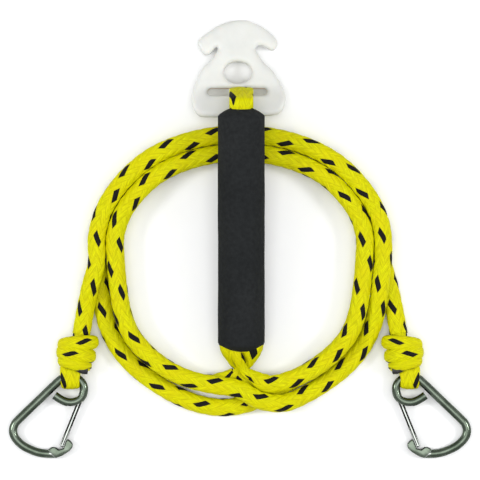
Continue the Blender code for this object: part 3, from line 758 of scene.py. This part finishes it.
KNOT_TURNS = [
    # shift to the right, along the strand, slant, half width, half height, rope width, phase, ahead
    (0.6, 9.8, 1.4, 16.2, 9.2, 15.6, 0.14, 0.10),
    (-1.4, -0.8, -1.8, 15.4, 9.7, 16.0, 0.094, -0.028),
    (-2.8, -10.0, -2.4, 12.6, 8.6, 13.0, -0.206, 0.086),
]
TURN_THICKNESS = 9.2
STRAND_SIZE = (15.0, 10.0)
TAIL_SIZE = (7.0, 6.4)
STANDING_STRAND = [(-158.4, -91.0, 10.4), (-160.0, -102.0, 12.2), (-163.4, -114.0, 13.0),
                   (-166.6, -125.0, 12.6), (-168.2, -130.5, 11.8)]
TAIL = [(-4.0, -9.0, 7.0), (0.6, -14.4, 7.4), (5.4, -16.8, 6.4), (9.8, -17.4, 5.2)]
TAIL_STEP = 0.8
MELTED_LENGTH = 12.0


def make_end_knot(side, suffix):
    """The left knot, or its mirror image: three turns round the standing strand and a melted tail."""
    centre = np.array((-END_KNOT_CENTRE[0], *END_KNOT_CENTRE[1:]))
    tubes = []
    turn = np.linspace(0.0, 2 * math.pi, 121)[:-1]
    for shift, along, slant, half_width, half_height, width, phase, ahead in KNOT_TURNS:
        offsets = np.stack([shift + half_width * np.cos(turn), along + slant * np.cos(turn),
                            half_height * np.sin(turn)], axis=1)
        points = centre + offsets
        widths = width * (0.8 + 0.2 * np.abs(np.sin(turn)))
        tubes.append(braided_tube(points, widths, full(points, TURN_THICKNESS), around=48,
                                  sides=(0.0, 1.0, 0.0), closed=True, phase=phase, ahead=ahead,
                                  relief=0.5))
    strand = smooth_route(STANDING_STRAND, 0.8)
    tubes.append(braided_tube(strand, *(full(strand, size) for size in STRAND_SIZE), seed=34,
                              phase=0.094))
    tail = smooth_route([centre + np.array(p) for p in TAIL], TAIL_STEP)
    tubes.append(braided_tube(tail, *(full(tail, size) for size in TAIL_SIZE), around=40, seed=35,
                              relief=0.4))
    name = "end_knot_turns_" + suffix
    mesh = rope_mesh(name, tubes, melted=round(MELTED_LENGTH / TAIL_STEP), mirror=side > 0)
    add_piece(name, mesh, [ROPE, ROPE_END], "harness", "end_knot_" + suffix)


# ---- bands

def hook_plane(along, above):
    """A place in the float's upright plane, along and above the tilted hook from its slot."""
    cos, sin = math.cos(HOOK_TILT), math.sin(HOOK_TILT)
    middle = HOOK_HEAD * sin + HOOK_THICKNESS / 2 * cos + 0.3
    return (FLOAT_MIDDLE.x / MM, HOOK_SLOT[1] + along * cos + above * sin,
            middle - along * sin + above * cos)


def make_hook_band():
    """Out of the float's bore, down through the slot, under the bar and back up into the bore."""
    x = FLOAT_MIDDLE.x / MM
    round_bar = [(0.6, 14.0), (0.4, 6.0), (0.2, 0.0), (-0.2, -4.8), (-2.2, -7.8),
                 (-6.0, -9.0), (-14.0, -9.0), (-22.0, -8.6), (-28.2, -5.8), (-29.6, -0.4),
                 (-28.4, 5.0), (-24.6, 8.2)]
    route = [on_float_axis(FLOAT_HALF - 9.0, 5.0), on_float_axis(FLOAT_HALF - 3.0, 4.6),
             on_float_axis(FLOAT_HALF + 1.4, 3.8), on_float_axis(FLOAT_HALF + 7.0, 2.6),
             (x, 144.8, 46.0), (x, 148.2, 37.0)]
    route += [hook_plane(v, n) for v, n in round_bar]
    route += [(x, 129.6, 29.0), (x, 135.4, 34.6), (x, 138.2, 42.0),
              on_float_axis(FLOAT_HALF + 3.4, -5.6), on_float_axis(FLOAT_HALF - 3.0, -5.2),
              on_float_axis(FLOAT_HALF - 9.0, -5.0)]
    points = smooth_route(route, 0.8)
    travelled = np.linspace(0.0, route_length(points), len(points))
    spread = smoothstep(np.minimum(travelled, travelled[::-1]), 3.0, 12.0)
    widths = CORE_SIZE[0] + (BAND_WIDTH - CORE_SIZE[0]) * spread
    heights = CORE_SIZE[1] + (BAND_HEIGHT - CORE_SIZE[1]) * spread
    tube = braided_tube(points, widths, heights, sides=(1.0, 0.0, 0.0), around=64, seed=41,
                        phase=-0.095, ahead=0.108, pitch=SPREAD_PITCH, stray=0.0, relief=0.42)
    item = add_piece("braided_hook_band", rope_mesh("braided_hook_band", [tube]), [ROPE], None,
                     "hook_band")
    pivot = Vector(JOINTS["hook_lift"]["pos_m"])
    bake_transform(item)


def make_eye_band(side, suffix):
    """Out of the end knot, over the crown of the clip's eye and back under it."""
    round_crown = [(13.0, 4.4), (9.0, 6.6), (5.0, 7.8), (0.0, 7.9), (-4.8, 7.2), (-8.6, 4.5),
                   (-9.9, 0.0), (-8.4, -4.0), (-4.8, -6.4), (0.0, -7.0), (5.0, -6.8), (9.0, -5.0),
                   (13.0, -2.0)]
    route = [(-CLIP_CROWN[0] - EYE_BAND_SHIFT, CLIP_CROWN[1] + y, CLIP_CROWN_Z + z) for y, z in round_crown]
    points = smooth_route(route, 0.7)
    from_crown = np.abs(np.linspace(-1.0, 1.0, len(points)))
    widths = EYE_BAND_WIDTH + (EYE_BAND_ROOT - EYE_BAND_WIDTH) * smoothstep(from_crown, 0.2, 0.8)
    tube = braided_tube(points, widths, full(points, EYE_BAND_HEIGHT), sides=(1.0, 0.0, 0.0),
                        around=56, phase=-0.235, ahead=0.10, stray=0.0, relief=0.4)
    name = "braided_eye_band_" + suffix
    mesh = rope_mesh(name, [tube], mirror=side > 0)
    add_piece(name, mesh, [ROPE], "harness", "eye_band_" + suffix)


# ---- solids from curves

def taken_mesh(item, *tools):
    """The mesh that an item's curve or modifiers make. The item and its tools are then removed."""
    bpy.context.view_layer.update()
    mesh = bpy.data.meshes.new_from_object(item.evaluated_get(bpy.context.evaluated_depsgraph_get()))
    for used in (*tools, item):
        bpy.data.objects.remove(used)
    return mesh


def curve_mesh(name, splines, closed=True, dimensions="2D", **settings):
    """The welded mesh of a curve object through lists of points in millimetres."""
    curve = bpy.data.curves.new(name, "CURVE")
    curve.dimensions = dimensions
    for points in splines:
        spline = curve.splines.new("POLY")
        spline.points.add(len(points) - 1)
        for target, point in zip(spline.points, points):
            target.co = (*(Vector(tuple(point) + (0.0,) * (3 - len(point))) * MM), 1.0)
        spline.use_cyclic_u = closed
    for setting, value in settings.items():
        setattr(curve, setting, value)
    mesh = taken_mesh(linked(name, curve))
    settle_normals(mesh)
    return mesh


def rounded_outline(points, pieces=6):
    """A closed Catmull-Rom curve through the points."""
    knots = [np.array(p, float) for p in points]
    n = len(knots)
    outline = []
    for i in range(n):
        a, b, c, d = (knots[(i + k) % n] for k in (-1, 0, 1, 2))
        outline += [tuple(catmull_rom(a, b, c, d, k / pieces)) for k in range(pieces)]
    return outline


def ellipse_points(half_width, half_height, count, centre=(0.0, 0.0)):
    turns = [2 * math.pi * k / count for k in range(count)]
    return [(centre[0] + half_width * math.cos(t), centre[1] + half_height * math.sin(t)) for t in turns]


def slot_outline(length, width):
    radius = width / 2
    outline = []
    for side, start in ((1, -math.pi / 2), (-1, math.pi / 2)):
        for turn in start + np.linspace(0.0, math.pi, 13):
            outline.append((side * (length / 2 - radius) + radius * math.cos(turn), radius * math.sin(turn)))
    return outline


def edge_distance(points, outlines):
    """Each point's distance to the nearest of the closed outlines."""
    starts = np.concatenate([np.array(o) for o in outlines])
    ends = np.concatenate([np.roll(np.array(o), -1, axis=0) for o in outlines])
    runs = ends - starts
    best = np.full(len(points), np.inf)
    for start, run in zip(starts, runs):
        share = np.clip(((points - start) @ run) / max(run @ run, 1e-9), 0.0, 1.0)
        best = np.minimum(best, np.linalg.norm(points - start - share[:, None] * run, axis=1))
    return best


def is_inside(point, outline):
    """Whether a ray from the point crosses the closed outline an odd number of times."""
    ahead, after = outline - point, np.roll(outline, -1, axis=0) - point
    crossing = (ahead[:, 1] > 0) != (after[:, 1] > 0)
    ahead, after = ahead[crossing], after[crossing]
    x = ahead[:, 0] - ahead[:, 1] * (after[:, 0] - ahead[:, 0]) / (after[:, 1] - ahead[:, 1])
    return np.count_nonzero(x > 0) % 2 == 1


EDGE_ROWS = (0.04, 0.13, 0.27, 0.45, 0.68, 1.0)     # as shares of the rounded edge


def inner_points(outlines, rounding, spacing):
    """Rows of points along each outline, closest near it, and a grid over the flat middle."""
    inner = []
    for ring in outlines:
        run = unit(np.roll(ring, -1, axis=0) - np.roll(ring, 1, axis=0))
        normal = np.stack([-run[:, 1], run[:, 0]], axis=1)
        for share in EDGE_ROWS:
            for side in (1, -1):
                moved = ring + side * normal * rounding * share
                inner.append(moved[edge_distance(moved, outlines) > rounding * share * 0.96])
    low, high = outlines[0].min(axis=0), outlines[0].max(axis=0)
    grid = np.stack(np.meshgrid(np.arange(low[0], high[0], 2 * spacing),
                                np.arange(low[1], high[1], 2 * spacing)), axis=-1).reshape(-1, 2)
    return inner + [grid[edge_distance(grid, outlines) > rounding * 1.25]]


def filled(outlines, inner):
    """Faces over the first outline but not over the others, as places and lists of them."""
    edges, first = [], 0
    for ring in outlines:
        edges += [(first + k, first + (k + 1) % len(ring)) for k in range(len(ring))]
        first += len(ring)
    places = [Vector(p) for p in np.concatenate(outlines + inner)]
    flat, _, faces, _, _, _ = delaunay_2d_cdt(places, edges, [], 1, 1e-6)
    flat = np.array([tuple(p) for p in flat])
    faces = [f for f in faces if not any(is_inside(flat[f].mean(axis=0), o) for o in outlines[1:])]
    used = np.unique(np.concatenate([np.array(f) for f in faces]))
    number = {old: new for new, old in enumerate(used)}
    return flat[used], [[number[v] for v in face] for face in faces]


def pillow_plate(name, outline, holes, thickness, rounding, drop, spacing=1.6):
    """A plate whose faces fall away softly towards its outline and its holes."""
    outlines = [resampled(np.array(o + [o[0]]), spacing)[:-1] for o in [outline] + holes]
    flat, top = filled(outlines, inner_points(outlines, rounding, spacing))
    depth = np.clip(edge_distance(flat, outlines) / rounding, 0.0, 1.0)
    height = thickness / 2 - drop * (1 - np.sqrt(np.clip(1 - (1 - depth) ** 2, 0.0, 1.0)))
    verts = np.concatenate([np.column_stack([flat, height]), np.column_stack([flat, -height])])
    count = len(flat)
    bottom = [[v + count for v in reversed(face)] for face in top]
    sides = [(a, b) for face in top for a, b in zip(face, face[1:] + face[:1])]
    shared = set(sides)
    walls = [[a, a + count, b + count, b] for a, b in sides if (b, a) not in shared]
    mesh = new_mesh(name, verts, top + bottom + walls)
    settle_normals(mesh)
    return mesh


# ---- tow hook

def is_slot_wall(place):
    """Whether a place on the flat hook, in metres from the slot's middle, is on the slot's wall."""
    past_straight = max(abs(place.x / MM) - (SLOT_LENGTH - SLOT_WIDTH) / 2, 0.0)
    return math.hypot(past_straight, place.y / MM) < SLOT_WIDTH / 2 + 0.2


def make_hook():
    x, y, half_width, half_height = HOOK_HOLE
    holes = [ellipse_points(half_width, half_height, 72, (x, y)), slot_outline(SLOT_LENGTH, SLOT_WIDTH)]
    mesh = pillow_plate("moulded_hook", rounded_outline(HOOK_OUTLINE), holes, HOOK_THICKNESS,
                        HOOK_ROUNDING, HOOK_DROP)
    # The slot's wall faces take the second material, a tan painted shade.
    for face in mesh.polygons:
        face.material_index = int(is_slot_wall(face.center))
    middle = (HOOK_SLOT[0],) + hook_plane(0.0, 0.0)[1:]
    mesh.transform(Matrix.Translation(at(middle)) @ Matrix.Rotation(-HOOK_TILT, 4, "X"))
    add_piece("moulded_hook", mesh, [NYLON, SLOT_SHADE_NYLON], "hook", "tow_hook")


# ---- snap clips

def clip_points(points, side):
    """Points from the eye's middle, moved to start from its crown and mirrored for the right clip."""
    return [(-side * x, y - EYE_DROP) for x, y in points]


def gate_frame(side):
    """The gate's pivot, its directions along and into the clip's opening, and its length."""
    base, tip = (Vector(p) for p in clip_points([GATE_PIVOT, GATE_TIP], side))
    along = (tip - base).normalized()
    inward = Vector((along.y, -along.x)) * (1 if side < 0 else -1)
    return base, along, inward, (tip - base).length


def turned(along, inward, angle):
    """The first direction turned by an angle towards the second."""
    return along * math.cos(angle) + inward * math.sin(angle)


def clip_place(side):
    """From the clip's own plane to the frame. The crown is on the clip's joint, and the plane is
    square to the gate's."""
    suffix = "left" if side < 0 else "right"
    normal = Vector(JOINTS["gate_open_" + suffix]["axis"]).normalized()
    if normal.z < 0:
        normal.negate()
    tilt = math.atan2(-normal.y, normal.z)
    return Matrix.Translation(JOINTS["clip_lift_" + suffix]["pos_m"]) @ Matrix.Rotation(tilt, 4, "X")


def carved(name, mesh, steps):
    """The mesh after a chain of boolean operations with other meshes."""
    item = linked(name, mesh)
    tools = []
    for tool_mesh, operation in steps:
        tools.append(linked(name + "_tool", tool_mesh))
        modifier = item.modifiers.new(operation.lower(), "BOOLEAN")
        modifier.operation = operation
        modifier.solver = "EXACT"
        modifier.object = tools[-1]
    return taken_mesh(item, *tools)


def bevelled(mesh, width, segments, angle=40.0):
    item = linked("bevelled", mesh)
    modifier = item.modifiers.new("rounded", "BEVEL")
    modifier.width = width * MM
    modifier.segments = segments
    modifier.limit_method = "ANGLE"
    modifier.angle_limit = math.radians(angle)
    return taken_mesh(item)


def plate(name, splines, thickness, level=0.0):
    """A flat plate between closed outlines, with its middle at a level."""
    mesh = curve_mesh(name, splines, fill_mode="BOTH", extrude=thickness / 2 * MM)
    mesh.transform(Matrix.Translation((0.0, 0.0, level * MM)))
    return mesh


def cylinder(name, radius, length, place):
    mesh = bpy.data.meshes.new(name)
    work = bmesh.new()
    bmesh.ops.create_cone(work, cap_ends=True, segments=40, radius1=radius * MM,
                          radius2=radius * MM, depth=length * MM)
    work.to_mesh(mesh)
    work.free()
    mesh.transform(Matrix.Translation((place.x * MM, place.y * MM, 0.0)))
    return mesh


def pivot_arc(side, half_width):
    """Half a turn round the far side of the pivot, from the inner edge to the outer."""
    base, along, inward, _ = gate_frame(side)
    return [base + half_width * turned(inward, -along, math.pi * k / ARC_POINTS)
            for k in range(ARC_POINTS + 1)]


def gate_outline(side):
    base, along, inward, length = gate_frame(side)
    half = GATE_WIDTH / 2
    corners = [(length - GATE_TIP_CUT, -half), (length, GATE_TIP_CUT - half),
               (length, half - GATE_TIP_CUT), (length - GATE_TIP_CUT, half)]
    outline = pivot_arc(side, half) + [base + along * a + inward * b for a, b in corners]
    return [outline, ellipse_points(RIVET_HOLE_RADIUS, RIVET_HOLE_RADIUS, 32, base)]


def slot_fan(side):
    """The outline that the gate sweeps as it opens, with room to spare."""
    base, along, inward, _ = gate_frame(side)
    beside, past_open = GATE_SLOT_SPARE
    half = GATE_WIDTH / 2 + beside
    wide_open = turned(along, inward, GATE_OPENING + past_open)
    across = turned(inward, -along, GATE_OPENING + past_open)
    return pivot_arc(side, half)[1:] + [
        base + along * GATE_SLOT_REACH - inward * half,
        base + wide_open * GATE_SLOT_REACH + across * half,
        base + across * half]


def is_nose_seam(place, side):
    """Whether a place on the flat clip is on the top of the rounding along the nose's slanted end, where a
    highlight is painted.
    """
    top, bottom = (Vector(p) for p in clip_points([NOSE_OUTLINE[-1], NOSE_OUTLINE[0]], side))
    seam, from_top = bottom - top, place.to_2d() / MM - top
    along, beside = from_top.dot(seam.normalized()), abs(from_top.cross(seam.normalized()))
    on_rounding = place.z / MM > NOSE_THICKNESS / 2 - NOSE_ROUNDING
    return 0.0 < along < seam.length and beside < NOSE_ROUNDING and on_rounding


def add_steel(name, mesh, materials, side, body, node):
    mesh.transform(clip_place(side))
    add_piece(name, mesh, materials, body, node)
    mesh.set_sharp_from_angle(angle=math.radians(32))


def make_clip_frame(side, suffix):
    """A bent round bar with a flat nose, cut for the gate and bored for its rivet."""
    path = smooth_route([(x, y, 0.0) for x, y in clip_points(CLIP_PATH, side)], 1.6)
    name = "polished_frame_" + suffix
    bar = curve_mesh(name, [path], closed=False, dimensions="3D", bevel_depth=CLIP_BAR_RADIUS * MM,
                     bevel_resolution=10, use_fill_caps=True)
    nose = bevelled(plate("nose", [clip_points(NOSE_OUTLINE, side)], NOSE_THICKNESS), NOSE_ROUNDING, 3)
    fan = plate("fan", [slot_fan(side)], GATE_SLOT_HEIGHT)
    hole = cylinder("hole", RIVET_HOLE_RADIUS, 30.0, gate_frame(side)[0])
    mesh = carved(name, bar, [(nose, "UNION"), (fan, "DIFFERENCE"), (hole, "DIFFERENCE")])
    # The seam's top faces take the gate's lighter steel as a painted highlight.
    for face in mesh.polygons:
        face.material_index = int(is_nose_seam(face.center, side))
    add_steel(name, mesh, [STEEL, GATE_STEEL_AND_SEAM_HIGHLIGHT], side, "clip_" + suffix, "clip_frame_" + suffix)


def make_gate(side, suffix):
    """A flat strip with rounded edges and two grooves in each face. Its edges and grooves carry painted
    shade in a near-black steel.
    """
    base, along, inward, length = gate_frame(side)
    offset, width, depth = GATE_GROOVE
    start, end = GATE_GROOVE_ENDS[0], length - GATE_GROOVE_ENDS[1]
    name = "polished_gate_" + suffix
    strip = bevelled(plate(name, gate_outline(side), GATE_THICKNESS, GATE_LEVEL), 0.3, 2, 60.0)
    steps = []
    for face, row in ((1, 1), (1, -1), (-1, 1), (-1, -1)):
        near, far = row * offset, row * (offset + width)
        groove = [base + along * a + inward * b for a, b in
                  ((start, near), (end, near), (end, far), (start, far))]
        level = GATE_LEVEL + face * GATE_THICKNESS / 2
        steps.append((plate("groove", [groove], 2 * depth, level), "DIFFERENCE"))
    mesh = carved(name, strip, steps)
    # Painted shade: every face farther from the middle line than the grooves' inner edge takes the
    # near-black steel.
    for face in mesh.polygons:
        away = abs((face.center.to_2d() / MM - base).dot(inward))
        face.material_index = int(away > offset - 0.1)
    add_steel(name, mesh, [GATE_STEEL_AND_SEAM_HIGHLIGHT, GATE_SHADE_STEEL], side, "gate_" + suffix, "clip_gate_" + suffix)


def finish_cad_node(node, material):
    """A node whose solid shows as it is, in a better material."""
    materials = frame["nodes"][node].data.materials
    materials.clear()
    materials.append(material)


def make_clip(side, suffix):
    make_clip_frame(side, suffix)
    make_gate(side, suffix)
    make_eye_band(side, suffix)
    make_end_knot(side, suffix)
    finish_cad_node("gate_rivet_" + suffix, STEEL)
    finish_cad_node("gate_spring_" + suffix, SPRING_STEEL)


# ---- floor and light

def make_floor():
    mesh = bpy.data.meshes.new("floor")
    work = bmesh.new()
    bmesh.ops.create_circle(work, cap_ends=True, segments=96, radius=FLOOR_RADIUS)
    work.to_mesh(mesh)
    work.free()
    item = linked("floor", mesh)
    item.location.z = FLOOR_LEVEL
    s = Shader("floor_paper", Roughness=0.9)
    paper = s.noise(s.place(), 40.0, 3.0)
    s.drive("Base Color", s.mix_colour(paper, *PAPER_WHITE))
    mesh.materials.append(s.material)


def make_softbox(name, place, width, depth, power):
    """A rectangular light that faces the middle of the part."""
    data = bpy.data.lights.new(name, "AREA")
    data.shape = "RECTANGLE"
    data.size = width
    data.size_y = depth
    data.energy = power
    item = linked(name, data)
    item.location = place
    item.rotation_euler = (Vector() - Vector(place)).to_track_quat("-Z", "Y").to_euler()


def make_sky():
    """A sky that is brighter overhead than at the floor's level."""
    world = bpy.data.worlds.new("studio")
    bpy.context.scene.world = world
    world.use_nodes = True
    tree = world.node_tree
    background = tree.nodes["Background"]
    background.inputs["Color"].default_value = SKY_COLOUR
    way = tree.nodes.new("ShaderNodeTexCoord")
    split = tree.nodes.new("ShaderNodeSeparateXYZ")
    fade = tree.nodes.new("ShaderNodeMapRange")
    for value, level in zip(fade.inputs[1:5], SKY_FADE):
        value.default_value = level
    tree.links.new(way.outputs["Generated"], split.inputs[0])
    tree.links.new(split.outputs["Z"], fade.inputs[0])
    tree.links.new(fade.outputs[0], background.inputs["Strength"])


# ---- assembly

make_camera()
make_tow_line("left", left_line_route(), 1, 0.0)
make_tow_line("right", right_line_route(), 2, 0.33)
make_float()
make_core_legs()
make_stopper()
make_hook()
make_hook_band()
for side, suffix in ((-1, "left"), (1, "right")):
    make_clip(side, suffix)
make_floor()
make_sky()
for softbox in SOFTBOXES:
    make_softbox(*softbox)
bpy.context.scene.view_settings.view_transform = "Standard"
